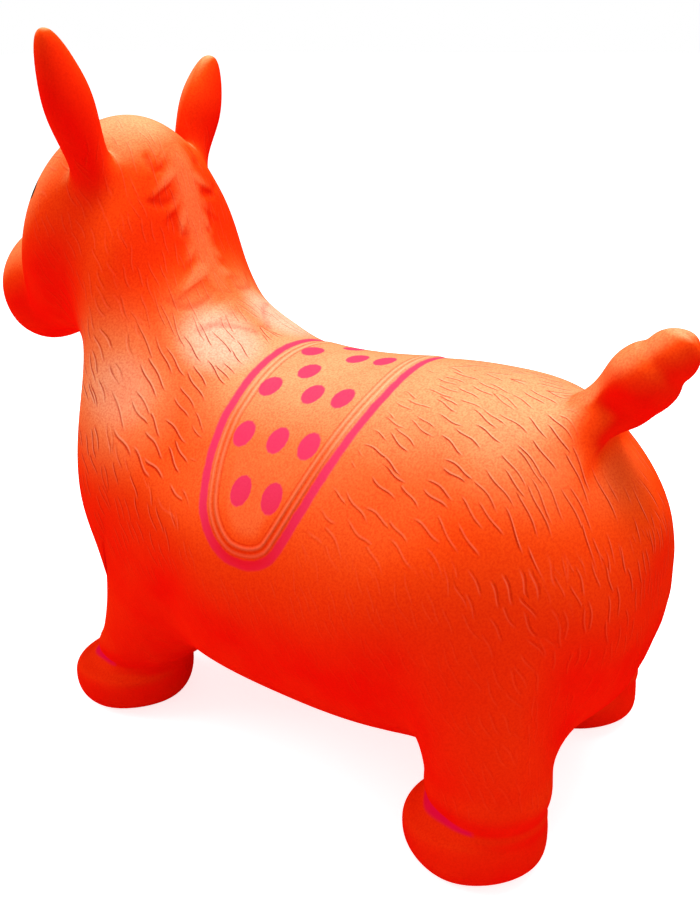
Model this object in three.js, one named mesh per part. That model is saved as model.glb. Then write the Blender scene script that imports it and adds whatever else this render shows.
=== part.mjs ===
// A hollow bouncing horse of soft plastic: one moulded skin, a valve bush in its belly and the bush's plug.
// Sizes are in millimetres. The horse faces -Y, its left side is +X and it stands on z = 0.
import * as THREE from 'three';

// Skin and fit.
const WALL = 2;
const GAP = 0.3;

// Main sizes. The trunk runs from the muzzle to the rump, and the poll is the top of the head over the belly.
const TRUNK_LENGTH = 515;
const POLL_HEIGHT = 392;
const BODY_WIDTH = 276;
const BELLY_HEIGHT = 37;

// The rings and the feet are drawn for a trunk of these sizes, and stretch with the main sizes.
const DRAWN = { long: 515, tall: 392, wide: 276 };
const LONG = TRUNK_LENGTH / DRAWN.long;
const TALL = POLL_HEIGHT / DRAWN.tall;
const WIDE = BODY_WIDTH / DRAWN.wide;

// The trunk from rump to muzzle as a row of rings. Each ring has a top point [y, z], a bottom point [y, z],
// half the width, and a sag that makes it wider towards the bottom. Heights are measured from the belly.
const TRUNK = [
  { top: [197, 179], bottom: [198, 65], half: 62, sag: 0 },
  { top: [167, 217], bottom: [173, 29], half: 100, sag: 0 },
  { top: [128, 243], bottom: [138, 7], half: 124, sag: 0.03 },
  { top: [88, 248], bottom: [94, 1], half: 134, sag: 0.06 },
  { top: [46, 247], bottom: [50, 0], half: 138, sag: 0.08 },
  { top: [-6, 242], bottom: [-8, 1], half: 137, sag: 0.08 },
  { top: [-62, 244], bottom: [-68, 5], half: 132, sag: 0.08 },
  { top: [-95, 258], bottom: [-110, 9], half: 125, sag: 0.08 },
  { top: [-119, 277], bottom: [-162, 21], half: 117, sag: 0.1 },
  { top: [-135, 303], bottom: [-198, 73], half: 106, sag: 0.08 },
  { top: [-142, 328], bottom: [-201, 139], half: 92, sag: 0.05 },
  { top: [-148, 352], bottom: [-206, 197], half: 80, sag: 0 },
  { top: [-160, 375], bottom: [-226, 229], half: 73, sag: 0 },
  { top: [-190, 392], bottom: [-240, 233], half: 76, sag: 0 },
  { top: [-219, 389], bottom: [-250, 233], half: 73, sag: 0 },
  { top: [-243, 365], bottom: [-262, 229], half: 62, sag: 0 },
  { top: [-256, 329], bottom: [-274, 223], half: 52, sag: 0 },
  { top: [-286, 312], bottom: [-292, 223], half: 50, sag: 0 },
  { top: [-304, 295], bottom: [-304, 245], half: 32, sag: 0 },
];
const RUMP_END = [208, 129];
const MUZZLE_END = [-307, 270];
const RING_ANGLES = [0, 30, 60, 92, 126, 156, 180];

// Legs. Each one grows from an open patch low on the side of two rings of the trunk. The place is that of
// the hoof, and the leg leans back from it by lean at the ankle.
const REAR_LEG = { ringIndex: 1, x: 90, y: 131, lean: 9 };
const FRONT_LEG = { ringIndex: 6, x: 66, y: -175, lean: 24 };
const ANKLE_RADIUS = 37;
const ANKLE_HEIGHT = 53;
const HOOF_RADIUS = 44;
const HOOF_HEIGHT = 31;
const HOOF_ROUND = 15;
const SOLE_RADIUS = 31;
const LEG_TILT = 6;

// How strongly the hollow at a limb's root is filled, and at the next points away from it.
const BLEND = [0.6, 0.6, 0.45, 0.25];
const BLEND_ROUNDS = 14;

// Ears, one on each side of the poll.
const EAR_RING_INDEX = 12;
const EAR_LENGTH = { left: 98, right: 75 };
const EAR_WIDTH = 19;
const EAR_DEPTH = 13;
const EAR_TIP = 4;
const EAR_SPLAY = 22;
const EAR_RAKE = 2;

// Tail.
const TAIL_RING_INDEX = 1;
const TAIL_LENGTH = 88;
const TAIL_ROOT = 15;
const TAIL_SWELL = 21;
const TAIL_TIP = 9;
const TAIL_RISE = 48;

// Valve bush and plug, on the middle of the belly.
const VALVE_RING_INDEX = 5;
const PAD_RADIUS = 18;
const NECK_RADIUS = 7.5;
const FLANGE_RADIUS = 13;
const FLANGE_THICK = 2;
const COLLAR_RADIUS = 10.5;
const COLLAR_THICK = 1.6;
const BORE_RADIUS = 4.5;
const PLUG_HEAD_RADIUS = 8.5;
const PLUG_HEAD_THICK = 3;
const PLUG_STEM = 14;

const SIDES = 2 * (RING_ANGLES.length - 1);
const rad = THREE.MathUtils.degToRad;

// A point of a trunk ring. Points run from the top round the left side to the bottom and back.
function ringPoint(ring, k) {
  const left = k <= SIDES / 2;
  const angle = rad(left ? RING_ANGLES[k] : 360 - RING_ANGLES[SIDES - k]);
  const c = Math.cos(angle);
  const mix = (i) => (ring.top[i] + ring.bottom[i]) / 2 + ((ring.top[i] - ring.bottom[i]) / 2) * c;
  const half = WIDE * ring.half * (1 - ring.sag * c);
  return [half * Math.sin(angle), LONG * mix(0), BELLY_HEIGHT + TALL * mix(1)];
}

// The coarse closed net of the horse: points that the skin passes through, and its four-sided faces.
function coarseNet() {
  const points = [];
  const faces = [];
  const open = new Set();
  const roots = new Set();
  const add = (p) => points.push(p) - 1;
  const rings = TRUNK.map((ring) => Array.from({ length: SIDES }, (_, k) => add(ringPoint(ring, k))));
  const at = (s, k) => rings[s][(k + SIDES) % SIDES];
  const faceKey = (s, k) => s * SIDES + ((k + SIDES) % SIDES);

  // A limb grows from the patch of faces that starts at ring s and side k. The patch is left open, and the
  // limb's rings follow its border.
  function growLimb(s, k, long, wide, side, ringPlaces, end) {
    const turn = (j) => (side > 0 ? j : SIDES - j);
    const border = [];
    for (let j = k; j < k + wide; j += 1) border.push(at(s, turn(j)));
    for (let i = s; i < s + long; i += 1) border.push(at(i, turn(k + wide)));
    for (let j = k + wide; j > k; j -= 1) border.push(at(s + long, turn(j)));
    for (let i = s + long; i > s; i -= 1) border.push(at(i, turn(k)));
    for (let i = s; i < s + long; i += 1) {
      for (let j = k; j < k + wide; j += 1) open.add(faceKey(i, side > 0 ? j : SIDES - j - 1));
    }
    for (const v of border) roots.add(v);
    const quad = (...f) => faces.push(side > 0 ? f.reverse() : f);
    const count = border.length;
    let last = border;
    for (const place of ringPlaces) {
      const next = border.map((_, i) => add(place(i, count)));
      for (let i = 0; i < count; i += 1) {
        const j = (i + 1) % count;
        quad(last[i], last[j], next[j], next[i]);
      }
      last = next;
    }
    if (count === 8) {
      const tip = add(end);
      quad(last[0], last[1], tip, last[7]);
      quad(last[1], last[2], last[3], tip);
      quad(tip, last[3], last[4], last[5]);
      quad(last[7], tip, last[5], last[6]);
    } else if (count === 6) {
      quad(last[0], last[1], last[4], last[5]);
      quad(last[1], last[2], last[3], last[4]);
    } else {
      quad(...last);
    }
  }

  function growLeg(leg, side) {
    const footX = WIDE * leg.x;
    const footY = LONG * leg.y;
    const circle = (radius, z, lean, tilt) => (i, count) => {
      const angle = rad(45 + (360 / count) * i);
      const out = Math.cos(angle);
      const y = footY + leg.lean * lean + radius * Math.sin(angle);
      return [side * (footX + radius * out), y, z + tilt * out];
    };
    const places = [
      circle(ANKLE_RADIUS, ANKLE_HEIGHT, 1, LEG_TILT),
      circle(HOOF_RADIUS, HOOF_HEIGHT, 0.2, LEG_TILT / 3),
      circle(HOOF_RADIUS, HOOF_ROUND, 0, 0),
      circle(SOLE_RADIUS, -1, 0, 0),
    ];
    growLimb(leg.ringIndex, 3, 2, 2, side, places, [side * footX, footY, -1]);
  }

  function growEar(side) {
    const corners = [EAR_RING_INDEX, EAR_RING_INDEX + 1].flatMap((s) => [at(s, 1), at(s, 2)]);
    const root = new THREE.Vector3();
    for (const c of corners) root.add(new THREE.Vector3(...points[c]).divideScalar(corners.length));
    const turn = new THREE.Euler(-rad(EAR_RAKE), rad(EAR_SPLAY), 0, 'YXZ');
    const square = [[1, -1], [1, 1], [-1, 1], [-1, -1]];
    const length = side > 0 ? EAR_LENGTH.left : EAR_LENGTH.right;
    const place = (along, deep, wide) => (i) => {
      const p = new THREE.Vector3((square[i][1] * wide) / Math.SQRT2, (square[i][0] * deep) / Math.SQRT2, 0);
      p.z = length * along;
      p.applyEuler(turn).add(root);
      return [side * p.x, p.y, p.z];
    };
    growLimb(EAR_RING_INDEX, 1, 1, 1, side, [
      place(0.14, EAR_DEPTH * 0.95, EAR_WIDTH * 0.8),
      place(0.45, EAR_DEPTH, EAR_WIDTH),
      place(0.72, EAR_DEPTH * 0.85, EAR_WIDTH * 0.85),
      place(0.91, EAR_DEPTH * 0.6, EAR_WIDTH * 0.52),
      place(1, EAR_TIP, EAR_TIP),
    ]);
  }

  function growTail() {
    const sides = [-1, 0, 1];
    const corners = [TAIL_RING_INDEX, TAIL_RING_INDEX + 1].flatMap((s) => sides.map((k) => at(s, k)));
    const root = new THREE.Vector3();
    for (const c of corners) root.add(new THREE.Vector3(...points[c]).divideScalar(corners.length));
    const turn = new THREE.Euler(-rad(90 - TAIL_RISE), 0, 0);
    const place = (along, radius) => (i) => {
      const angle = rad(150 - 60 * i);
      const p = new THREE.Vector3(radius * Math.cos(angle), radius * Math.sin(angle), TAIL_LENGTH * along);
      p.applyEuler(turn).add(root);
      return p.toArray();
    };
    growLimb(TAIL_RING_INDEX, -1, 1, 2, 1, [
      place(0.2, TAIL_ROOT),
      place(0.55, TAIL_SWELL),
      place(0.82, TAIL_SWELL * 0.8),
      place(1, TAIL_TIP),
    ]);
  }

  for (const side of [1, -1]) {
    growLeg(REAR_LEG, side);
    growLeg(FRONT_LEG, side);
    growEar(side);
  }
  growTail();
  const last = TRUNK.length - 1;
  for (let s = 0; s < last; s += 1) {
    for (let k = 0; k < SIDES; k += 1) {
      if (!open.has(faceKey(s, k))) faces.push([at(s, k), at(s + 1, k), at(s + 1, k + 1), at(s, k + 1)]);
    }
  }
  const rump = add([0, LONG * RUMP_END[0], BELLY_HEIGHT + TALL * RUMP_END[1]]);
  const muzzle = add([0, LONG * MUZZLE_END[0], BELLY_HEIGHT + TALL * MUZZLE_END[1]]);
  for (let k = 0; k < SIDES; k += 1) {
    faces.push([rump, at(0, k), at(0, k + 1)]);
    faces.push([muzzle, at(last, k + 1), at(last, k)]);
  }
  return { points, faces, roots, valvePoint: at(VALVE_RING_INDEX, SIDES / 2) };
}

const mean = (list) => [0, 1, 2].map((j) => list.reduce((sum, p) => sum + p[j], 0) / list.length);

// How a net is split once: every face gives one small face to each of its corners.
function splitPlan(net) {
  const count = net.points.length;
  const edges = [];
  const edgeIndex = new Map();
  const edgesOfPoint = net.points.map(() => []);
  const facesOfPoint = net.points.map(() => []);
  const edgesOfFace = net.faces.map((face, f) => face.map((a, i) => {
    const b = face[(i + 1) % face.length];
    const key = `${Math.min(a, b)}-${Math.max(a, b)}`;
    if (!edgeIndex.has(key)) {
      edgeIndex.set(key, edges.length);
      edgesOfPoint[a].push(edges.length);
      edgesOfPoint[b].push(edges.length);
      edges.push({ ends: [a, b], faces: [] });
    }
    edges[edgeIndex.get(key)].faces.push(f);
    facesOfPoint[a].push(f);
    return edgeIndex.get(key);
  }));
  const quads = net.faces.flatMap((face, f) => face.map((a, i) => {
    const before = edgesOfFace[f][(i + face.length - 1) % face.length];
    return [a, count + edgesOfFace[f][i], count + edges.length + f, count + before];
  }));
  return { faces: net.faces, edges, edgesOfPoint, facesOfPoint, quads };
}

// One smoothing split of the net.
function split(points, plan) {
  const facePoints = plan.faces.map((face) => mean(face.map((v) => points[v])));
  const middles = plan.edges.map((edge) => mean(edge.ends.map((v) => points[v])));
  const corners = points.map((p, v) => {
    const n = plan.edgesOfPoint[v].length;
    const q = mean(plan.facesOfPoint[v].map((f) => facePoints[f]));
    const r = mean(plan.edgesOfPoint[v].map((e) => middles[e]));
    return p.map((x, j) => (q[j] + 2 * r[j] + (n - 3) * x) / n);
  });
  const edgePoints = plan.edges.map((edge) => mean([
    ...edge.ends.map((v) => points[v]),
    ...edge.faces.map((f) => facePoints[f]),
  ]));
  return [...corners, ...edgePoints, ...facePoints];
}

// Where the points of a net of four-sided faces come to rest on the smooth surface.
function settle(points, quads) {
  const sums = points.map(() => ({ n: 0, near: [0, 0, 0], far: [0, 0, 0] }));
  for (const quad of quads) {
    quad.forEach((v, i) => {
      const sum = sums[v];
      sum.n += 1;
      for (let j = 0; j < 3; j += 1) {
        sum.near[j] += points[quad[(i + 1) % 4]][j];
        sum.far[j] += points[quad[(i + 2) % 4]][j];
      }
    });
  }
  return points.map((p, v) => {
    const { n, near, far } = sums[v];
    return p.map((x, j) => (n * n * x + 4 * near[j] + far[j]) / (n * (n + 5)));
  });
}

// Fills the hollows at the roots of the limbs, so that they flow into the trunk.
function blend(points, quads, roots) {
  const near = points.map(() => new Set());
  for (const quad of quads) quad.forEach((v, i) => near[v].add(quad[(i + 1) % 4]).add(quad[(i + 3) % 4]));
  const ease = points.map(() => 0);
  let edge = [...roots];
  for (const strength of BLEND) {
    for (const v of edge) ease[v] = strength;
    edge = [...new Set(edge.flatMap((v) => [...near[v]]))].filter((v) => ease[v] === 0);
  }
  let result = points;
  for (let round = 0; round < BLEND_ROUNDS; round += 1) {
    const last = result;
    const normals = outward(last, quads);
    result = last.map((p, v) => {
      if (ease[v] === 0) return p;
      const rise = new THREE.Vector3(...mean([...near[v]].map((w) => last[w]))).sub(new THREE.Vector3(...p));
      const fill = ease[v] * Math.max(0, rise.dot(normals[v]));
      return normals[v].clone().multiplyScalar(fill).add(new THREE.Vector3(...p)).toArray();
    });
  }
  return result;
}

// The smooth outer surface. It passes through the points of the coarse net, except where a limb blends in.
function outerSurface() {
  const net = coarseNet();
  const plan = splitPlan(net);
  let control = net.points;
  for (let round = 0; round < 10; round += 1) {
    const reached = settle(split(control, plan), plan.quads);
    control = control.map((p, v) => p.map((x, j) => x + net.points[v][j] - reached[v][j]));
  }
  const points = blend(settle(split(control, plan), plan.quads), plan.quads, net.roots);
  for (const p of points) p[2] = Math.max(p[2], 0);
  return { points, quads: plan.quads, valvePoint: net.valvePoint };
}

// Opens the round valve hole in a flat pad on the belly.
function openValve(surface) {
  const { points, valvePoint } = surface;
  const [, y, z] = points[valvePoint];
  const taken = surface.quads.filter((quad) => quad[0] === valvePoint);
  const quads = surface.quads.filter((quad) => quad[0] !== valvePoint);
  const border = [];
  let quad = taken[0];
  for (let i = 0; i < taken.length; i += 1) {
    border.push(quad[1], quad[2]);
    const join = quad[3];
    quad = taken.find((other) => other[1] === join);
  }
  const step = (2 * Math.PI) / border.length;
  const circle = (radius) => border.map((v) => {
    const angle = Math.round(Math.atan2(points[v][1] - y, points[v][0]) / step) * step;
    return points.push([radius * Math.cos(angle), y + radius * Math.sin(angle), z]) - 1;
  });
  const pad = circle(PAD_RADIUS);
  const hole = circle((NECK_RADIUS + GAP) / Math.cos(step / 2));
  border.forEach((_, i) => {
    const j = (i + 1) % border.length;
    quads.push([border[i], border[j], pad[j], pad[i]]);
    quads.push([pad[i], pad[j], hole[j], hole[i]]);
  });
  return { points, quads, hole, valve: { y, z } };
}

// Outward directions at the points of a surface.
function outward(points, quads) {
  const normals = points.map(() => new THREE.Vector3());
  for (const quad of quads) {
    const [a, b, c, d] = quad.map((v) => new THREE.Vector3(...points[v]));
    const normal = c.sub(a).cross(d.sub(b));
    for (const v of quad) normals[v].add(normal);
  }
  return normals.map((n) => n.normalize());
}

// The hollow skin: the outer surface, the inner one a wall further in, and the side of the valve hole.
function skinGeometry(surface) {
  const { points, quads, hole } = surface;
  const normals = outward(points, quads);
  const inner = points.map((p, v) => {
    const q = new THREE.Vector3(...p).addScaledVector(normals[v], -WALL);
    return [q.x, q.y, Math.max(q.z, WALL)];
  });
  const shift = points.length;
  const all = quads.slice();
  for (const quad of quads) all.push(quad.map((v) => v + shift).reverse());
  hole.forEach((a, i) => {
    const b = hole[(i + 1) % hole.length];
    all.push([a, b, b + shift, a + shift]);
  });
  const used = [...new Set(all.flat())];
  const place = new Map(used.map((v, i) => [v, i]));
  const geometry = new THREE.BufferGeometry();
  const positions = used.flatMap((v) => (v < shift ? points[v] : inner[v - shift]));
  geometry.setAttribute('position', new THREE.Float32BufferAttribute(positions, 3));
  geometry.setIndex(all.flatMap(([a, b, c, d]) => [a, b, c, a, c, d].map((v) => place.get(v))));
  return geometry;
}

// A turned piece about the valve's axis from a closed outline of [radius, height] points.
function turned(outline, valve) {
  const geometry = new THREE.LatheGeometry(outline.map(([r, h]) => new THREE.Vector2(r, h)), 32);
  geometry.rotateX(Math.PI / 2);
  geometry.translate(0, valve.y, valve.z);
  return geometry;
}

// The grooved bush that holds the edge of the hole. Heights are measured from the outside of the belly.
function bushGeometry(valve) {
  const low = -GAP - FLANGE_THICK;
  const grip = WALL + GAP;
  const high = grip + COLLAR_THICK;
  return turned([
    [BORE_RADIUS, low],
    [FLANGE_RADIUS - 0.8, low],
    [FLANGE_RADIUS, low + 0.8],
    [FLANGE_RADIUS, -GAP],
    [NECK_RADIUS, -GAP],
    [NECK_RADIUS, grip],
    [COLLAR_RADIUS, grip],
    [COLLAR_RADIUS - 0.8, high],
    [BORE_RADIUS, high],
    [BORE_RADIUS, low],
  ], valve);
}

// The plug, with its head under the bush and its stem up through the bore.
function plugGeometry(valve) {
  const under = -2 * GAP - FLANGE_THICK;
  const stem = BORE_RADIUS - GAP;
  const tip = under + PLUG_STEM;
  return turned([
    [0, under - PLUG_HEAD_THICK],
    [PLUG_HEAD_RADIUS * 0.7, under - PLUG_HEAD_THICK * 0.9],
    [PLUG_HEAD_RADIUS * 0.95, under - PLUG_HEAD_THICK * 0.6],
    [PLUG_HEAD_RADIUS, under - PLUG_HEAD_THICK * 0.3],
    [PLUG_HEAD_RADIUS * 0.95, under],
    [stem, under],
    [stem, tip - 4],
    [stem * 0.7, tip - 0.6],
    [stem * 0.5, tip],
    [0, tip],
  ], valve);
}

const surface = openValve(outerSurface());
const pieces = [
  ['body_skin', skinGeometry(surface), 0xf2501f, 0.42],
  ['valve_bush', bushGeometry(surface.valve), 0xe8481c, 0.5],
  ['valve_plug', plugGeometry(surface.valve), 0xf4efe6, 0.5],
];

const horse = new THREE.Group();
horse.name = 'bouncy_horse';
const box = new THREE.Box3();
for (const [name, geometry, color, roughness] of pieces) {
  const mesh = new THREE.Mesh(geometry, new THREE.MeshStandardMaterial({ color, roughness }));
  mesh.name = name;
  geometry.computeVertexNormals();
  geometry.computeBoundingBox();
  box.union(geometry.boundingBox);
  horse.add(mesh);
}
const middle = (box.min.y + box.max.y) / 2;
for (const mesh of horse.children) mesh.geometry.translate(0, -middle, 0);

export default horse;
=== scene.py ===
"""Looks of the inflatable hopper horse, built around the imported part.

The frame is in metres with Z up, and the head points to -Y. Shapes are worked out in mm.
"""

import math

import bpy
import numpy as np
from mathutils import Matrix, Vector


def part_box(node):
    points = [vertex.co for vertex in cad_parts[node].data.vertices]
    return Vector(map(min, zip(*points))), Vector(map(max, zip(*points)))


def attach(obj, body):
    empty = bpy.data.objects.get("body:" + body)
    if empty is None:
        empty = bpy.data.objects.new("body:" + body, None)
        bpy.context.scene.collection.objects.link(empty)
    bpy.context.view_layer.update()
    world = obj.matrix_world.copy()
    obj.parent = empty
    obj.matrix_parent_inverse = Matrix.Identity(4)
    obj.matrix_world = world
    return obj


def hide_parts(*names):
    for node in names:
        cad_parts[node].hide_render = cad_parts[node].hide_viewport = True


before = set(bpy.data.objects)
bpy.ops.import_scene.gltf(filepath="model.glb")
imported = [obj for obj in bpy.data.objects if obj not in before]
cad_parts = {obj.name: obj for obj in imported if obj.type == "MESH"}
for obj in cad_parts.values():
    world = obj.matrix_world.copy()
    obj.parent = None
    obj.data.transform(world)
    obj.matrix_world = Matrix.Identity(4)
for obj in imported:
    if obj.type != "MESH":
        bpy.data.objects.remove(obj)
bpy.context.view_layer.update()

MM = 1000

# How often the net of the skin is split, the rounds that fit it to its points, and how its ends are evened out.
SPLIT_LEVELS = 3
LIMIT_ROUNDS = 12
POLE_REACH = (16, 42)
POLE_ROUNDS = 60
MUZZLE_END_HEIGHT = 307
RUMP_END = [0, 254.5, 166]

# The valve: the height that it lies under, and the radii of the bore, of the pad and of the hole kept open.
VALVE_TOP = 60
BORE_RADIUS = 10
PAD_RADIUS = 18.8
HOLE_RADIUS = 8.4

# How far fields of distance reach.
FIELD_REACH = 20.0
SADDLE_REACH = 60.0
DOT_REACH = 30.0

# The barrel that the saddle is laid out on, and the saddle's outline as (degrees round it, y).
# The front goes from the top of the back down, and the rear goes up again.
SPINE_HEIGHT = 160.0
GIRTH_RADIUS = 130.0
SADDLE_FRONT = [
    (0, -16), (17, -15.5), (30, -15), (41, -15), (53, -12),
    (63, -7), (70, -1), (76, 10), (79.4, 23), (79.7, 40),
]
SADDLE_REAR = [(77, 53), (71.5, 60), (63, 67), (54.5, 72.5), (44.6, 77.5), (33, 82), (20, 85.5), (5, 86)]
SADDLE_RISE = 1.3

# Dots: y of each by degrees round the barrel, half sizes round and along, and the scale of their soft edge.
DOT_ROWS = {0: (3, 39, 60), 14: (19,), 25: (3, 36, 59), 44: (5.5, 32, 56), 61: (21, 45)}
DOT_HALF = (10.6, 7.4)
DOT_SCALE = 8.5

# Lines that follow the saddle's outline: the painted one's half width, the raised rims inside it, and lines of
# painted shade beside the rims.
LINE_HALF = (3.9, 2.0)
RIMS = (5.4, 9.8)
RIM_HALF = 1.9
RIM_SHADE_LINES = (7.6, 11.9)
RIM_SHADE_HALF = 1.1

# The mane: its crest as (y, z), and locks on the left as root, tip, half width and height.
MANE_FOOT = 270
MANE_SHARE = 0.8
CREST = [(-118, 416), (-104, 395), (-97, 368), (-90, 342), (-74, 316), (-50, 296)]
CREST_RISE = 1.6
CREST_FADE = (4, 26)
LOCKS = [
    ((3, -113, 413), (26, -109, 394), 8.5, 1.2),
    ((4, -104, 399), (34, -104, 381), 8.5, 1.5),
    ((5, -100, 384), (27, -98, 366), 8, 1.0),
    ((6, -98, 374), (19, -94, 351), 8, 1.3),
    ((4, -90, 350), (24, -88, 332), 9, 1.1),
    ((3, -84, 331), (39, -82, 316), 9, 2.1),
    ((2, -72, 314), (28, -72, 304), 9, 1.1),
    ((2, -60, 304), (42, -64, 294), 9, 1.9),
]
RIGHT_LOCK_DROP = 7
STREAK_LEAN = math.radians(20)
STREAK_RATES = (0.33, 0.33, 0.028)

# Folds under the locks on the left, each a curve through three places.
FOLDS = [
    [(24, -113, 406), (24, -107, 399), (18, -105, 399)],
    [(35, -103, 379), (27, -100, 376), (15, -98, 378)],
    [(20, -96, 366), (17, -93, 357), (12, -92, 353)],
    [(45, -84, 315), (34, -75, 309), (16, -71, 314)],
    [(44, -63, 297), (24, -54, 297), (7, -38, 290)],
]
FOLD_DEPTH = 0.8
FOLD_HALF = 3.2

# Hooves, tail and face.
HOOF_CENTRES = [(90, 177.8), (-90, 177.8), (66, -128.2), (-66, -128.2)]
HOOF_REACH = 62
PAINT_REACH = 60
HOOF_LINE = 44.0
TAIL_AXIS = ((0, 228, 268), (0, 262, 330))
TAIL_LEAN = math.radians(48)
EYE = (52, -188, 384)
EYE_RADIUS = 8
NOSTRIL = (19, 314)
NOSTRIL_RADIUS = 5
MOUTH_HEIGHT = 284
MOUTH_HALF = 33
MOUTH_BEND = 150
MUZZLE_FRONT = -232

# Hair strokes: cell width and length, and slant as cosine and sine, then the shape of one stroke.
TOP_CELL = (6.6, 26.0)
TOP_SLANT = (0.94, 0.34)
SIDE_CELL = (6.2, 24.0)
SIDE_SLANT = (0.88, 0.47)
REAR_CELL = (6.5, 23.0)
WAVE_RATE = 0.3
WAVE_HEIGHT = 0.6
SLANT_SPREAD = 0.15
GROOVE_HALF = 0.68
EDGE_OFF = 0.95
EDGE_HALF = 0.65

# Painted sheen and highlight: the ways that the back and the chest face where sheen is painted, and spots of
# painted highlight on the shoulder.
# A spot is given as place, reach and strength.
BACK_FACING = (0.1, 0.15, 0.98)
CHEST_FACING = (0.4, -0.5, 0.77)
HIGHLIGHT_SPOTS = [((34, -48, 289), 70, 1.0), ((92, -92, 262), 85, 0.72)]

# Colours of the vinyl with its painted shade and light: shaded underside, lit top, and painted sheen up to the
# palest painted highlight.
SHADED_VINYL = (0.9, 0.004, 0.001, 1)
LIT_VINYL = (0.97, 0.075, 0.005, 1)
SHEEN_VINYL = (0.97, 0.2, 0.025, 1)
SHEEN_PALE = (0.98, 0.42, 0.19, 1)
HIGHLIGHT_PALEST = (0.98, 0.62, 0.42, 1)

# Colours of its clouds and specks, of the painted shade in grooves and folds, of the painted highlight on lit
# edges, and of its paint and face.
CLOUD = (0.96, 0.05, 0.005, 1)
SPECK = (0.76, 0.005, 0.001, 1)
GROOVE_SHADE = (0.62, 0.004, 0.001, 1)
FOLD_SHADE = (0.7, 0.006, 0.001, 1)
EDGE_HIGHLIGHT_DIM = (0.98, 0.05, 0.008, 1)
EDGE_HIGHLIGHT_PALE = (1.0, 0.6, 0.36, 1)
# The pink paint with painted shade: its shaded copy and its lit copy.
PINK_SHADED = (0.88, 0.004, 0.012, 1)
PINK_LIT = (0.76, 0.03, 0.12, 1)
HOOF_PAINT = (0.76, 0.003, 0.05, 1)
EYE_BLACK = (0.012, 0.008, 0.008, 1)
EYE_SHINE = (0.8, 0.8, 0.8, 1)
FACE_LINE = (0.45, 0.006, 0.002, 1)

# Colours of the valve.
BUSH_DARK = (0.62, 0.02, 0.004, 1)
BUSH_PALE = (0.8, 0.04, 0.006, 1)
PLUG_DARK = (0.78, 0.76, 0.72, 1)
PLUG_PALE = (0.88, 0.87, 0.84, 1)

# The floor, and the glow of floor and world as it lights the part and as it is seen.
FLOOR_HALF = 14000
FLOOR_HEIGHT = -0.3
FLOOR_DARK = (0.9, 0.9, 0.9, 1)
FLOOR_PALE = (0.95, 0.95, 0.95, 1)
FLOOR_GLOW = (0.05, 0.75)
WORLD_LIGHT = (0.44, 1.0)
WHITE = (1, 1, 1, 1)

# Lamps: name, place and aim in metres, width and power.
LAMPS = [
    ("top", (-0.25, 0.15, 1.7), (0, 0, 0.25), 1.3, 15),
    ("key", (-0.22, 0.12, 1.6), (0, 0, 0.25), 0.4, 8),
    ("front", (0.9, -1.5, 1.2), (0, -0.05, 0.25), 1.1, 13),
    ("rear", (0.5, 1.7, 0.9), (0, 0.1, 0.2), 1.1, 3.5),
]

# The camera: the photograph's size, focal length and middle of view in pixels.
# Angles are in degrees, places in metres.
IMAGE_SIZE = (700, 900)
FOCAL_PIXELS = 1064.17
VIEW_CENTRE = (323.05, 460.44)
SENSOR_WIDTH = 36
CAMERA_TURN = 122.75
CAMERA_RISE = 22.59
CAMERA_ROLL = 0.91
CAMERA_TARGET = (0, 0.010, 0.200)
CAMERA_DISTANCE = 0.760


def smooth(low, high, value):
    """A soft step from 0 at low to 1 at high."""
    share = np.clip((value - low) / (high - low), 0, 1)
    return share * share * (3 - 2 * share)


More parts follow.
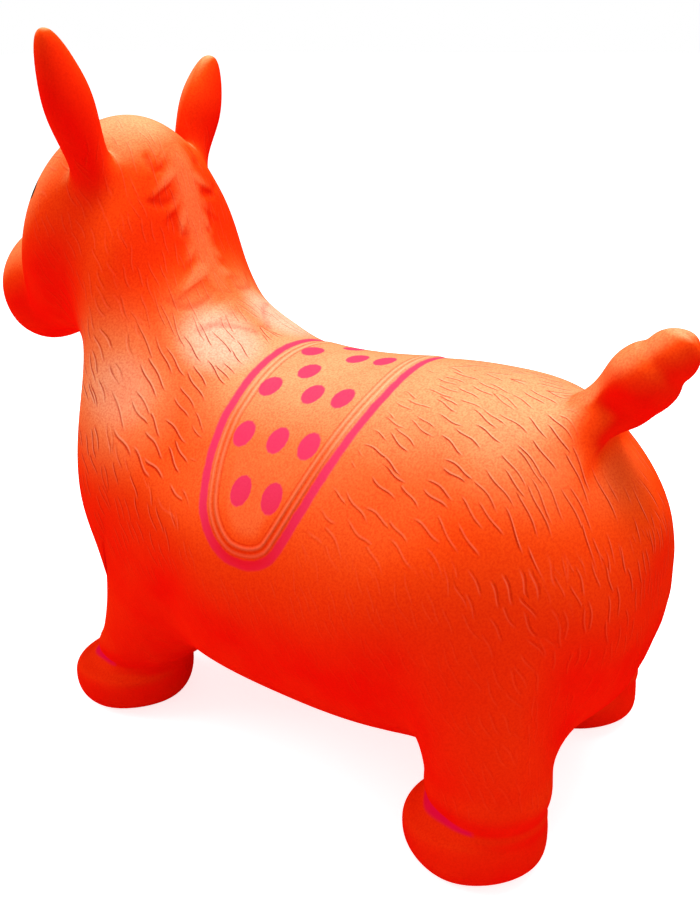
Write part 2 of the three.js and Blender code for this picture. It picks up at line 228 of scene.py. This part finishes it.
def outer_quads(node, axis):
    """The outside of the skin as points in mm and quads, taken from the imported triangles."""
    mesh = node.data
    raw = np.empty(len(mesh.vertices) * 3)
    mesh.vertices.foreach_get("co", raw)
    raw = raw.reshape(-1, 3) * MM
    # Corners that round to the same hundredth of a mm are one point.
    hundredths = np.round(raw * 100).astype(np.int64)
    _, first, back = np.unique(hundredths, axis=0, return_index=True, return_inverse=True)
    points = raw[first]
    back = back.reshape(-1)
    mesh.calc_loop_triangles()
    tris = np.empty(len(mesh.loop_triangles) * 3, int)
    mesh.loop_triangles.foreach_get("vertices", tris)
    tris = back[tris].reshape(-1, 3)
    # Without the wall of the bore, the outside and the inside are shells of their own. The wider one is kept.
    away = np.hypot(points[:, 0] - axis[0], points[:, 1] - axis[1])
    low = points[:, 2] < VALVE_TOP
    tris = tris[~(low & (away < BORE_RADIUS))[tris].all(1)]
    label = np.arange(len(points))
    while True:
        least = label[tris].min(1)
        fresh = label.copy()
        for corner in range(3):
            np.minimum.at(fresh, tris[:, corner], least)
        if (fresh == label).all():
            break
        label = fresh
    names = np.unique(label[tris])
    outer = max(names, key=lambda name: np.ptp(points[label == name][:, 0]))
    tris = tris[label[tris[:, 0]] == outer]
    # A quad is two triangles with a shared diagonal. No diagonal ends where only four triangles meet.
    # The pad round the hole is left out, and quads that meet in its middle take its place.
    meets = np.bincount(tris.reshape(-1), minlength=len(points))
    on_edge = meets == 4
    pad = low & (away < PAD_RADIUS) & (meets > 0)
    rest = tris[~pad[tris].any(1)]
    border = np.unique(tris[pad[tris].any(1)])
    border = border[~pad[border]]
    turn = np.arctan2(points[border, 1] - axis[1], points[border, 0] - axis[0])
    border = border[np.argsort(-turn)]
    turn = np.sort(turn)[::-1]
    on_edge[border] = np.abs(np.cos(2 * turn)) > 0.7
    halves = {}
    for tri in rest:
        for k in range(3):
            p, q, r = int(tri[k]), int(tri[(k + 1) % 3]), int(tri[(k + 2) % 3])
            if not on_edge[p] and not on_edge[q]:
                halves.setdefault((min(p, q), max(p, q)), []).append((p, q, r))
    quads = []
    for pair in halves.values():
        (p, q, r), (_, _, s) = pair
        quads.append((p, s, q, r))
    centre = len(points)
    points = np.vstack([points, [axis[0], axis[1], points[pad, 2].min()]])
    for k, corner in enumerate(border):
        if not on_edge[corner]:
            quads.append((centre, int(border[k - 1]), int(corner), int(border[(k + 1) % len(border)])))
    used, quads = np.unique(np.array(quads), return_inverse=True)
    return points[used], quads.reshape(-1, 4)


def limit(points, quads):
    """Where each point of a quad net ends up on its smooth surface."""
    count = np.bincount(quads.reshape(-1), minlength=len(points)).astype(float)[:, None]
    near = np.zeros_like(points)
    far = np.zeros_like(points)
    for k in range(4):
        np.add.at(near, quads[:, k], (points[quads[:, k - 1]] + points[quads[:, (k + 1) % 4]]) / 2)
        np.add.at(far, quads[:, k], points[quads[:, (k + 2) % 4]])
    return (count * count * points + 4 * near + far) / (count * (count + 5))


def make_mesh(name, points, faces):
    """A mesh in metres from points in mm."""
    mesh = bpy.data.meshes.new(name)
    places = [tuple(point) for point in np.asarray(points) / MM]
    mesh.from_pydata(places, [], [tuple(int(corner) for corner in face) for face in faces])
    mesh.update()
    return mesh


def split_skin(points, quads):
    """The smooth skin through the net's points, split finely."""
    control = points.copy()
    for _ in range(LIMIT_ROUNDS):
        control += points - limit(control, quads)
    net = bpy.data.objects.new("net", make_mesh("net", control, quads))
    bpy.context.collection.objects.link(net)
    surface = net.modifiers.new("smooth", "SUBSURF")
    surface.levels = surface.render_levels = SPLIT_LEVELS
    surface.use_limit_surface = True
    graph = bpy.context.evaluated_depsgraph_get()
    fine = bpy.data.meshes.new_from_object(net.evaluated_get(graph))
    bpy.data.objects.remove(net)
    place = np.empty(len(fine.vertices) * 3)
    fine.vertices.foreach_get("co", place)
    corners = np.empty(len(fine.loops), int)
    fine.loops.foreach_get("vertex_index", corners)
    bpy.data.meshes.remove(fine)
    return place.reshape(-1, 3) * MM, corners.reshape(-1, 4)


def normals_of(points, quads):
    """The way that the skin faces at each point."""
    first, second = (points[quads[:, k + 2]] - points[quads[:, k]] for k in (0, 1))
    across = np.cross(first, second)
    total = np.zeros_like(points)
    for k in range(4):
        np.add.at(total, quads[:, k], across)
    return total / np.maximum(np.linalg.norm(total, axis=1, keepdims=True), 1e-12)


def to_line(points, start, end):
    """Distance to a straight piece of line, and the share along it."""
    start = np.asarray(start, float)
    run = np.asarray(end, float) - start
    share = np.clip(((points - start) @ run) / (run @ run), 0, 1)
    return np.linalg.norm(points - start - share[:, None] * run, axis=1), share


def closed_curve(corners, steps):
    """A smooth closed curve through the corners."""
    corners = np.asarray(corners, float)
    pieces = []
    for k in range(len(corners)):
        a, b, c, d = (corners[(k + j) % len(corners)] for j in (-1, 0, 1, 2))
        for t in np.arange(steps) / steps:
            pieces.append(b + 0.5 * t * (c - a + t * (2 * a - 5 * b + 4 * c - d + t * (3 * (b - c) + d - a))))
    return np.array(pieces)


def girth(points):
    """Place on the barrel as mm round from the top and mm along."""
    turn = np.arctan2(points[:, 0], points[:, 2] - SPINE_HEIGHT)
    return np.stack([turn * GIRTH_RADIUS, points[:, 1]], 1)


def inside_distance(flat, curve):
    """Distance to a closed curve in the plane, above zero inside it."""
    least = np.full(len(flat), np.inf)
    crossings = np.zeros(len(flat), int)
    for a, b in zip(curve, np.roll(curve, -1, axis=0)):
        away, _ = to_line(flat, a, b)
        least = np.minimum(least, away)
        spans = (a[1] > flat[:, 1]) != (b[1] > flat[:, 1])
        if spans.any():
            cut = a[0] + (flat[:, 1] - a[1]) * (b[0] - a[0]) / (b[1] - a[1])
            crossings += spans & (flat[:, 0] < cut)
    return np.where(crossings % 2 == 1, least, -least)


def saddle_field(points):
    """Distance to the saddle's outline, above zero inside it."""
    field = np.full(len(points), -SADDLE_REACH)
    near = (points[:, 2] > 140) & (points[:, 1] > -70) & (points[:, 1] < 140)
    half = SADDLE_FRONT + SADDLE_REAR
    ring = [(math.radians(t) * GIRTH_RADIUS, y) for t, y in half]
    ring += [(-a, y) for a, y in reversed(ring) if a > 1]
    inside = inside_distance(girth(points[near]), closed_curve(ring, 6))
    field[near] = np.clip(inside, -SADDLE_REACH, SADDLE_REACH)
    return field


def dot_field(points):
    """How near the dots' outlines are, in mm, below zero inside them."""
    field = np.full(len(points), DOT_REACH)
    flat = girth(points)
    upper = points[:, 2] > 150
    for turn, rows in DOT_ROWS.items():
        for side in (1, -1):
            for y in rows:
                across = (flat[:, 0] - side * math.radians(turn) * GIRTH_RADIUS) / DOT_HALF[0]
                along = (flat[:, 1] - y) / DOT_HALF[1]
                away = (np.hypot(across, along) - 1) * DOT_SCALE
                field = np.where(upper, np.minimum(field, away), field)
    return field


def mane_height(points):
    """Height of the mane's crest and locks over the neck."""
    height = np.zeros(len(points))
    near = (points[:, 2] > MANE_FOOT) & (points[:, 1] > -150) & (points[:, 1] < 0)
    part = points[near]
    crest = np.full(len(part), np.inf)
    for a, b in zip(CREST, CREST[1:]):
        away, _ = to_line(part, (0, *a), (0, *b))
        crest = np.minimum(crest, away)
    rise = CREST_RISE * (1 - smooth(*CREST_FADE, crest))
    for side, drop in ((1, 0), (-1, RIGHT_LOCK_DROP)):
        for root, tip, half, tall in LOCKS:
            start, end = (np.array([side * x, y, z - drop]) for x, y, z in (root, tip))
            away, share = to_line(part, start, end)
            above = part[:, 2] - (start[2] + share * (end[2] - start[2]))
            reach = half * (1.2 - 0.75 * share) * (1.1 + 0.35 * np.tanh(above / 5))
            leaf = (1 - smooth(0.1, 1.0, away / reach)) * (0.5 + 0.5 * np.sin(math.pi * share))
            rise = np.maximum(rise, 0.4 * rise + tall * leaf)
    height[near] = rise
    return height


def fold_field(points):
    """How near the folds of the mane are, in mm."""
    field = np.full(len(points), FIELD_REACH)
    near = (points[:, 2] > MANE_FOOT) & (points[:, 1] > -140) & (points[:, 1] < -20)
    part = points[near]
    part[:, 0] = np.abs(part[:, 0])
    least = field[near]
    t = np.linspace(0, 1, 9)[:, None]
    for start, middle, end in np.array(FOLDS, float):
        curve = (1 - t) * (1 - 2 * t) * start + 4 * t * (1 - t) * middle + t * (2 * t - 1) * end
        for a, b in zip(curve, curve[1:]):
            least = np.minimum(least, to_line(part, a, b)[0])
    field[near] = least
    return field


def hump(value, middle, half):
    """A soft hump of height 1 round the middle."""
    return np.exp(-(((value - middle) / half) ** 2))


def tail_height(points):
    """Knob, and strands that swell the tail's underside."""
    lean = np.array([0, math.cos(TAIL_LEAN), math.sin(TAIL_LEAN)])
    on_tail = (points[:, 2] > 262) & (points[:, 1] > 205) & (np.abs(points[:, 0]) < 30)
    tip = points[on_tail][np.argmax(points[on_tail] @ lean)]
    down = (tip - points) @ lean
    turn = np.abs(np.arctan2(points[:, 0], (points - tip) @ np.array([0, -lean[2], lean[1]])))
    knob = 0.6 * hump(down, 11, 7) - 1.2 * hump(down, 21, 4.5)
    strands = 0.45 * np.sin(down / 4.2 + 2 * turn) * smooth(16, 26, down) * smooth(0.8, 2.0, turn)
    return smooth(78, 55, down) * on_tail * (knob + strands)


def hoof_height(points):
    """The groove over each hoof, with a soft swell above it and another near the sole."""
    height = np.zeros(len(points))
    z = points[:, 2]
    ring = 1.2 * hump(z, HOOF_LINE + 11, 7) - 0.9 * hump(z, HOOF_LINE - 1, 2.6)
    ring -= 1.2 * smooth(16, 36, z) * smooth(HOOF_LINE + 10, HOOF_LINE, z)
    ring += 2.2 * hump(z, 11, 7) * smooth(0, 5, z)
    for x, y in HOOF_CENTRES:
        here = np.hypot(points[:, 0] - x, points[:, 1] - y) < HOOF_REACH
        height = np.where(here, ring, height)
    return height


def hoof_field(points):
    """How near the painted line over each hoof's front is, in mm, below zero inside it."""
    field = np.full(len(points), FIELD_REACH)
    low = points[:, 2] < 80
    for x, y in HOOF_CENTRES:
        out = (points[:, 0] - x) * (1 if x > 0 else -1)
        turn = np.degrees(np.arctan2(points[:, 1] - y, out))
        here = low & (np.hypot(points[:, 0] - x, points[:, 1] - y) < PAINT_REACH)
        ends = np.abs(turn + 52) - 72
        half = (4.4 - 3.2 * smooth(-50, 20, turn)) * smooth(-128, -80, turn)
        away = np.maximum(np.abs(points[:, 2] - HOOF_LINE) - half, ends * 0.4)
        field = np.where(here, np.minimum(field, away), field)
    return field


def eye_field(points):
    """How near the eyes' outlines are, in mm, below zero inside them."""
    x, y, z = np.abs(points[:, 0]) - EYE[0], points[:, 1] - EYE[1], points[:, 2] - EYE[2]
    return np.sqrt((x / 2) ** 2 + (y / 0.8) ** 2 + z ** 2) - EYE_RADIUS


def face_field(points):
    """How near the nostrils and the mouth's line are, in mm, below zero inside them."""
    x, y, z = np.abs(points[:, 0]), points[:, 1], points[:, 2]
    nostril = np.hypot((x - NOSTRIL[0]) / 0.8, (z - NOSTRIL[1]) / 1.1) - NOSTRIL_RADIUS
    mouth = np.maximum(np.abs(z - MOUTH_HEIGHT - x * x / MOUTH_BEND) - 1.0, x - MOUTH_HALF)
    return np.where(y < MUZZLE_FRONT, np.minimum(nostril, mouth), FIELD_REACH)


def hair_field(points, saddle, mane):
    """Strength of the hair strokes, which are faint low down and on the neck.

    There are none on ears, tail, hooves, face and saddle.
    """
    x, y, z = np.abs(points[:, 0]), points[:, 1], points[:, 2]
    ear = smooth(414, 428, z) * smooth(16, 26, x)
    tail = smooth(50, 32, to_line(points, *TAIL_AXIS)[0])
    hoof = smooth(62, 46, z)
    face = smooth(-165, -195, y)
    bare = np.maximum.reduce([ear, tail, hoof, face, smooth(-16, -9, saddle)])
    middle = smooth(-40, 20, y) * smooth(225, 150, y)
    thick = 0.16 + 0.84 * smooth(125 + 65 * middle, 240 + 27 * middle, z)
    thick *= 1 - 0.7 * smooth(280, 325, z)
    return thick * (1 - bare) * (1 - 0.75 * smooth(1.2, 2.4, mane))


def painted_highlight_field(points):
    """Strength of the painted highlight spots, alike on both sides."""
    field = np.zeros(len(points))
    sided = points.copy()
    sided[:, 0] = np.abs(sided[:, 0])
    for spot, reach, strength in HIGHLIGHT_SPOTS:
        away = np.linalg.norm(sided - spot, axis=1)
        field = np.maximum(field, strength * (1 - smooth(0.1 * reach, reach, away)))
    return field


def ease_poles(points, quads):
    """Evens out the two ends of the trunk, where many rows of the net meet."""
    ends = np.array([[0, points[:, 1].min(), MUZZLE_END_HEIGHT], RUMP_END])
    away = np.min(np.linalg.norm(points[:, None] - ends[None], axis=2), axis=1)
    ease = (1 - smooth(*POLE_REACH, away))[:, None]
    count = np.bincount(quads.reshape(-1), minlength=len(points))[:, None]
    for _ in range(POLE_ROUNDS):
        total = np.zeros_like(points)
        for k in range(4):
            np.add.at(total, quads[:, k], (points[quads[:, k - 1]] + points[quads[:, (k + 1) % 4]]) / 2)
        points = points + ease * (total / count - points)
    return points


def shape_skin(axis):
    """The skin as a mesh with its raised and sunk forms, and the fields that its look is drawn from."""
    points, quads = split_skin(*outer_quads(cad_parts["body_skin"], axis))
    points = ease_poles(points, quads)
    points[:, 2] = np.maximum(points[:, 2], 0)
    normals = normals_of(points, quads)
    saddle, mane, fold = saddle_field(points), mane_height(points), fold_field(points)
    fields = {
        "saddle": saddle,
        "dots": dot_field(points),
        "paint": hoof_field(points),
        "eye": eye_field(points),
        "face": face_field(points),
        "fold": fold,
        "hair": hair_field(points, saddle, mane),
        "mane": mane,
        # Strength of the painted highlight spots on the shoulders.
        "pale": painted_highlight_field(points),
    }
    height = SADDLE_RISE * smooth(1, 7, saddle) + MANE_SHARE * mane - FOLD_DEPTH * hump(fold, 0, FOLD_HALF)
    height += tail_height(points) + hoof_height(points)
    points = points + normals * height[:, None]
    points[:, 2] = np.maximum(points[:, 2], 0)
    away = np.hypot(points[:, 0] - axis[0], points[:, 1] - axis[1])
    hole = (away < HOLE_RADIUS) & (points[:, 2] < VALVE_TOP)
    mesh = make_mesh("skin", points, quads[~hole[quads].any(1)])
    for name, values in fields.items():
        layer = mesh.attributes.new(name, "FLOAT", "POINT")
        layer.data.foreach_set("value", np.ascontiguousarray(values, np.float32))
    mesh.polygons.foreach_set("use_smooth", np.ones(len(mesh.polygons), bool))
    skin = bpy.data.objects.new("skin", mesh)
    bpy.context.collection.objects.link(skin)
    return skin


class Look:
    """A material or world, and short ways to add nodes to it."""

    def __init__(self, owner, shader="Principled BSDF"):
        self.owner = owner
        self.owner.use_nodes = True
        self.tree = self.owner.node_tree
        self.shader = self.tree.nodes[shader]

    def put(self, socket, value):
        if isinstance(value, bpy.types.NodeSocket):
            self.tree.links.new(value, socket)
        else:
            socket.default_value = value

    def node(self, kind, inputs=(), **settings):
        made = self.tree.nodes.new(kind)
        for key, value in settings.items():
            setattr(made, key, value)
        for key, value in dict(inputs).items():
            self.put(made.inputs[key], value)
        return made

    def set(self, **values):
        for key, value in values.items():
            self.put(self.shader.inputs[key.replace("_", " ")], value)

    def math(self, operation, *values):
        return self.node("ShaderNodeMath", dict(enumerate(values)), operation=operation).outputs[0]

    def times(self, value, share):
        return self.math("MULTIPLY", value, share)

    def most(self, first, *others):
        for other in others:
            first = self.math("MAXIMUM", first, other)
        return first

    def size(self, value):
        return self.math("ABSOLUTE", value)

    def vector(self, operation, *values):
        made = self.node("ShaderNodeVectorMath", dict(enumerate(values)), operation=operation)
        return made.outputs["Value" if operation == "DOT_PRODUCT" else "Vector"]

    def parts(self, vector):
        return self.node("ShaderNodeSeparateXYZ", {0: vector}).outputs

    def step(self, value, low, high, start=0.0, end=1.0):
        """A soft step from start at low to end at high."""
        made = self.node("ShaderNodeMapRange", {0: value, 1: low, 2: high, 3: start, 4: end})
        made.interpolation_type = "SMOOTHSTEP"
        return made.outputs[0]

    def bands(self, value, middles, half):
        """Two soft lines where the value passes the middles."""
        lines = [self.step(self.size(self.math("SUBTRACT", value, middle)), half, 0.0) for middle in middles]
        return self.math("ADD", *lines)

    def field(self, name):
        return self.node("ShaderNodeAttribute", attribute_name=name).outputs["Fac"]

    def blend(self, share, first, second):
        return self.node("ShaderNodeMix", {0: share, 6: first, 7: second}, data_type="RGBA").outputs[2]

    def mix(self, share, first, second):
        return self.node("ShaderNodeMix", {0: share, 2: first, 3: second}).outputs[0]

    def noise(self, place, scale, detail=2.0):
        inputs = {"Vector": place, "Scale": scale, "Detail": detail}
        return self.node("ShaderNodeTexNoise", inputs).outputs["Fac"]

    def bump(self, height, strength, depth):
        inputs = {"Strength": strength, "Distance": depth, "Height": height}
        return self.node("ShaderNodeBump", inputs).outputs[0]

    def place(self):
        """Where a point lies on the piece, in mm."""
        here = self.node("ShaderNodeTexCoord").outputs["Object"]
        return self.node("ShaderNodeVectorMath", {0: here, "Scale": MM}, operation="SCALE").outputs["Vector"]

    def slanted(self, first, second, slant):
        """Two places in a plane, turned by a slant given as its cosine and sine."""
        cosine, sine = slant
        off = self.math("MULTIPLY_ADD", first, cosine, self.times(second, -sine))
        run = self.math("MULTIPLY_ADD", first, sine, self.times(second, cosine))
        return off, run

    def seen(self):
        """1 for rays that show the background, also in a reflection, and 0 for rays that light the part."""
        rays = self.node("ShaderNodeLightPath").outputs
        return self.most(rays["Is Camera Ray"], rays["Is Glossy Ray"], rays["Is Transmission Ray"])


def strokes(look, off, run, cell):
    """Wavy hair strokes, one in each cell of a plane with places off and run in mm: groove, and lower edge
    where a highlight is painted.
    """
    across, along = cell
    plane = look.node("ShaderNodeCombineXYZ", {0: off, 1: run}).outputs[0]
    cells = look.vector("DIVIDE", plane, (across, along, 1.0))
    found = look.node("ShaderNodeTexVoronoi", {"Vector": cells, "Scale": 1.0, "Randomness": 0.8},
                      voronoi_dimensions="2D").outputs
    gap = look.vector("SUBTRACT", cells, found["Position"])
    off, run, _ = look.parts(look.vector("MULTIPLY", gap, (across, along, 0.0)))
    chance = look.node("ShaderNodeSeparateColor", {0: found["Color"]}).outputs
    phase = look.times(chance[0], 2 * math.pi)
    wave = look.math("SINE", look.math("MULTIPLY_ADD", run, WAVE_RATE, phase))
    slant = look.times(run, look.math("MULTIPLY_ADD", chance[1], 2 * SLANT_SPREAD, -SLANT_SPREAD))
    off = look.math("ADD", look.math("MULTIPLY_ADD", wave, -WAVE_HEIGHT, off), slant)
    reach = look.math("MULTIPLY_ADD", chance[2], 0.16 * along, 0.34 * along)
    ends = look.step(look.math("DIVIDE", look.size(run), reach), 1.0, 0.5)
    groove = look.step(look.size(off), GROOVE_HALF, 0.05)
    edge = look.step(look.size(look.math("ADD", off, EDGE_OFF)), EDGE_HALF, 0.05)
    return look.times(groove, ends), look.times(edge, ends)


def hair_strokes(look, place, facing):
    """Strokes all over the skin, laid out from the top, the side or the rear by the way the skin faces."""
    x, y, z = look.parts(place)
    _, lengthwise, up = look.parts(facing)
    aside = look.size(x)
    down = look.times(z, -1.0)
    over = strokes(look, *look.slanted(aside, y, TOP_SLANT), TOP_CELL)
    beside = strokes(look, *look.slanted(y, down, SIDE_SLANT), SIDE_CELL)
    behind = strokes(look, aside, down, REAR_CELL)
    level = look.step(up, 0.34, 0.5)
    endwise = look.step(look.size(lengthwise), 0.62, 0.8)
    patch = look.step(look.noise(place, 0.02), 0.35, 0.6, 0.65, 1.0)
    cover = look.times(look.field("hair"), patch)
    return [
        look.times(look.mix(level, look.mix(endwise, side, back), top), cover)
        for top, side, back in zip(over, beside, behind)
    ]


def skin_look():
    """Orange-red vinyl with painted shade below and painted sheen above, with hair strokes, saddle, painted
    lines and face.
    """
    look = Look(bpy.data.materials.new("vinyl_skin"))
    place = look.place()
    facing = look.node("ShaderNodeNewGeometry").outputs["Normal"]
    up = look.parts(facing)[2]
    above_floor = look.parts(place)[2]
    hair, edges = hair_strokes(look, place, facing)

    saddle = look.field("saddle")
    wander = look.math("MULTIPLY_ADD", look.noise(place, 0.12), 1.4, -0.7)
    line = look.step(look.size(look.math("ADD", saddle, wander)), *LINE_HALF)
    dots = look.times(look.step(look.field("dots"), 0.7, -0.7), look.step(saddle, 7.0, 10.0))
    rims = look.bands(saddle, RIMS, RIM_HALF)
    rim_shade = look.bands(saddle, RIM_SHADE_LINES, RIM_SHADE_HALF)
    hoof = look.step(look.field("paint"), 1.6, -1.0)
    eye = look.step(look.field("eye"), 0.5, -0.5)
    shine = look.step(look.field("eye"), -5.4, -6.2)
    face = look.step(look.field("face"), 0.9, -0.6)
    fold = look.step(look.field("fold"), 4.2, 0.4)
    mane = look.field("mane")
    grain = look.noise(place, 0.75, 3.0)
    cloud = look.noise(place, 0.03, 3.0)

    # Painted shade: darker where the skin faces down and near the floor, lit colour where it faces up.
    shade = look.times(look.step(up, -0.25, 0.75), look.step(above_floor, 25.0, 110.0, 0.3, 1.0))
    # Painted sheen: paler where the skin faces up and back or the chest's way, on the mane's crest, inside the
    # saddle and at the highlight spots, none low down.
    painted_sheen = look.most(
        look.step(look.vector("DOT_PRODUCT", facing, BACK_FACING), 0.6, 1.03),
        look.step(look.vector("DOT_PRODUCT", facing, CHEST_FACING), 0.58, 1.0, 0.0, 0.6),
        look.step(mane, 0.4, 2.2, 0.0, 0.6),
        look.step(saddle, 9.0, 22.0, 0.0, 0.46),
        look.field("pale"),
    )
    painted_sheen = look.times(painted_sheen, look.step(above_floor, 90.0, 270.0))
    # Painted highlight for the strokes' lower edges and the rims, paler where sheen is painted.
    lit_edge = look.blend(look.most(painted_sheen, look.times(shade, 0.35)), EDGE_HIGHLIGHT_DIM, EDGE_HIGHLIGHT_PALE)
    # Painted shade on the pink paint: redder where it faces down, pinker where it faces up.
    pink = look.blend(look.step(up, 0.05, 0.85), PINK_SHADED, PINK_LIT)

    base = look.blend(shade, SHADED_VINYL, LIT_VINYL)
    layers = [
        # Painted sheen, palest where it is strongest.
        (painted_sheen, SHEEN_VINYL),
        (look.math("POWER", painted_sheen, 2.0), SHEEN_PALE),
        # Painted highlight at the spots on the shoulders.
        (look.step(look.field("pale"), 0.55, 1.1), HIGHLIGHT_PALEST),
        (look.step(cloud, 0.3, 0.8, 0.0, 0.15), CLOUD),
        (look.step(grain, 0.3, 0.75, 0.0, 0.4), SPECK),
        # Painted shade in the strokes' grooves, which the bump also sinks.
        (look.times(hair, 0.72), GROOVE_SHADE),
        # Painted highlight on the strokes' lower edges.
        (look.times(edges, 0.6), lit_edge),
        # Painted highlight on the saddle's raised rims.
        (look.times(rims, 0.4), lit_edge),
        # Painted shade in lines beside the saddle's rims.
        (look.times(rim_shade, 0.4), GROOVE_SHADE),
        (look.times(look.most(line, dots), 0.92), pink),
        (look.times(hoof, 0.9), HOOF_PAINT),
        # Painted shade in the folds under the mane's locks.
        (look.times(fold, 0.34), FOLD_SHADE),
        (eye, EYE_BLACK),
        (look.times(face, 0.6), FACE_LINE),
        (shine, EYE_SHINE),
    ]
    for share, colour in layers:
        base = look.blend(share, base, colour)

    leaned = {"Vector": place, "Angle": STREAK_LEAN}
    drawn = look.node("ShaderNodeVectorRotate", leaned, rotation_type="X_AXIS").outputs[0]
    streaks = look.noise(look.vector("MULTIPLY", drawn, STREAK_RATES), 1.0)
    streaks = look.times(streaks, look.step(mane, 0.3, 1.6))
    height = look.times(hair, -0.8)
    for value, rise in ((rims, 0.9), (dots, -0.12), (face, -0.6), (streaks, 0.6), (grain, 0.1)):
        height = look.math("MULTIPLY_ADD", value, rise, height)
    look.set(Base_Color=base, Roughness=look.step(grain, 0.2, 0.8, 0.32, 0.42), Specular_IOR_Level=0.0)
    look.set(Normal=look.bump(height, 1.0, 1 / MM))
    return look.owner


def valve_look(name, dark, pale, rough):
    """A plain moulded colour with fine grain."""
    look = Look(bpy.data.materials.new(name))
    grain = look.noise(look.place(), 0.9, 3.0)
    look.set(Base_Color=look.blend(look.step(grain, 0.3, 0.75), dark, pale))
    look.set(Roughness=look.step(grain, 0.2, 0.8, rough, rough + 0.12), Specular_IOR_Level=0.15)
    look.set(Normal=look.bump(grain, 0.5, 0.3 / MM))
    return look.owner


def dress(node, material):
    """Gives a piece one material."""
    node.data.materials.clear()
    node.data.materials.append(material)


def studio():
    """Pale floor, white surroundings and soft lamps."""
    signs = ((-1, -1), (1, -1), (1, 1), (-1, 1))
    corners = [(x * FLOOR_HALF, y * FLOOR_HALF, FLOOR_HEIGHT) for x, y in signs]
    floor = bpy.data.objects.new("floor", make_mesh("floor", corners, [(0, 1, 2, 3)]))
    bpy.context.collection.objects.link(floor)
    look = Look(bpy.data.materials.new("pale_floor"))
    speckle = look.noise(look.node("ShaderNodeTexCoord").outputs["Object"], 900.0)
    look.set(Base_Color=look.blend(speckle, FLOOR_DARK, FLOOR_PALE), Roughness=0.8)
    look.set(Emission_Color=WHITE, Emission_Strength=look.step(look.seen(), 0.0, 1.0, *FLOOR_GLOW))
    dress(floor, look.owner)
    world = bpy.data.worlds.new("studio")
    bpy.context.scene.world = world
    sky = Look(world, "Background")
    sky.set(Color=WHITE, Strength=sky.step(sky.seen(), 0.0, 1.0, *WORLD_LIGHT))
    for name, spot, aim, wide, power in LAMPS:
        lamp = bpy.data.lights.new(name, "AREA")
        lamp.shape = "DISK"
        lamp.size = wide
        lamp.energy = power
        lit = bpy.data.objects.new(name, lamp)
        lit.location = spot
        lit.rotation_euler = (Vector(aim) - Vector(spot)).to_track_quat("-Z", "Y").to_euler()
        bpy.context.collection.objects.link(lit)


def photo_camera():
    """The camera at the photograph's angle, with the shift that its framing needs."""
    turn, rise, roll = (math.radians(angle) for angle in (CAMERA_TURN, CAMERA_RISE, CAMERA_ROLL))
    back = Vector((math.sin(turn) * math.cos(rise), -math.cos(turn) * math.cos(rise), math.sin(rise)))
    right = Vector((math.cos(turn), math.sin(turn), 0))
    above = back.cross(right)
    across = right * math.cos(roll) - above * math.sin(roll)
    upward = right * math.sin(roll) + above * math.cos(roll)
    wide, tall = IMAGE_SIZE
    camera = bpy.data.cameras.new("camera")
    camera.sensor_width = SENSOR_WIDTH
    camera.lens = FOCAL_PIXELS / tall * SENSOR_WIDTH
    camera.shift_x = (wide / 2 - VIEW_CENTRE[0]) / tall
    camera.shift_y = (VIEW_CENTRE[1] - tall / 2) / tall
    holder = bpy.data.objects.new("camera", camera)
    turned = Matrix((across, upward, back)).transposed().to_4x4()
    holder.matrix_world = Matrix.Translation(Vector(CAMERA_TARGET) + back * CAMERA_DISTANCE) @ turned
    bpy.context.collection.objects.link(holder)
    bpy.context.scene.camera = holder


low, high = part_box("valve_plug")
valve_axis = ((low.x + high.x) / 2 * MM, (low.y + high.y) / 2 * MM)
skin = shape_skin(valve_axis)
skin.data.materials.append(skin_look())
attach(skin, "horse")
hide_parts("body_skin")
dress(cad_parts["valve_bush"], valve_look("soft_bush", BUSH_DARK, BUSH_PALE, 0.4))
dress(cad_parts["valve_plug"], valve_look("white_plug", PLUG_DARK, PLUG_PALE, 0.35))
studio()
photo_camera()
bpy.context.scene.view_settings.view_transform = "Standard"
